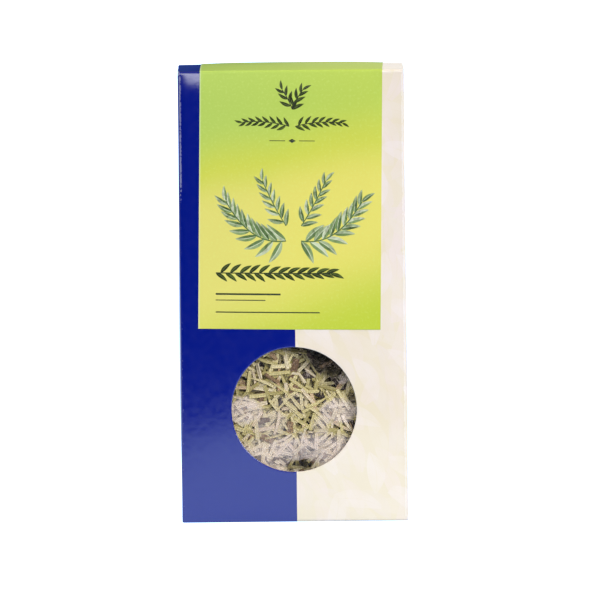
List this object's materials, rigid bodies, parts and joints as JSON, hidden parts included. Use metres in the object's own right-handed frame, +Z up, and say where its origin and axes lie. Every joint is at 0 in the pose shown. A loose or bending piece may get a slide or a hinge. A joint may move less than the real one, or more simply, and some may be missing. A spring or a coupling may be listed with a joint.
{
  "type": "folding carton of dried cut rosemary",
  "caption": "Upright folding carton with a round window over a clear bag of dried cut rosemary, closed by a paper label that wraps over its top.",
  "frame": {"origin": "middle of the base of the closed carton", "axes": "+Z up the carton, +X to the right seen from the front, +Y from the front to the back; the window faces -Y"},
  "size_m": [0.076, 0.0388, 0.1516],
  "materials": {
    "printed_board": "satin coated folding boxboard, printed blue on one half and cream on the other",
    "label_paper": "satin coated paper, printed in green and yellow",
    "clear_film": "clear crinkled film",
    "dried_herb": "matt dried needles, grey green to straw, with brown stalk"
  },
  "bodies": {
    "root": {"carton": "printed_board", "label": "label_paper", "film_bag": "clear_film", "cut_rosemary": "dried_herb"}
  },
  "joints": []
}
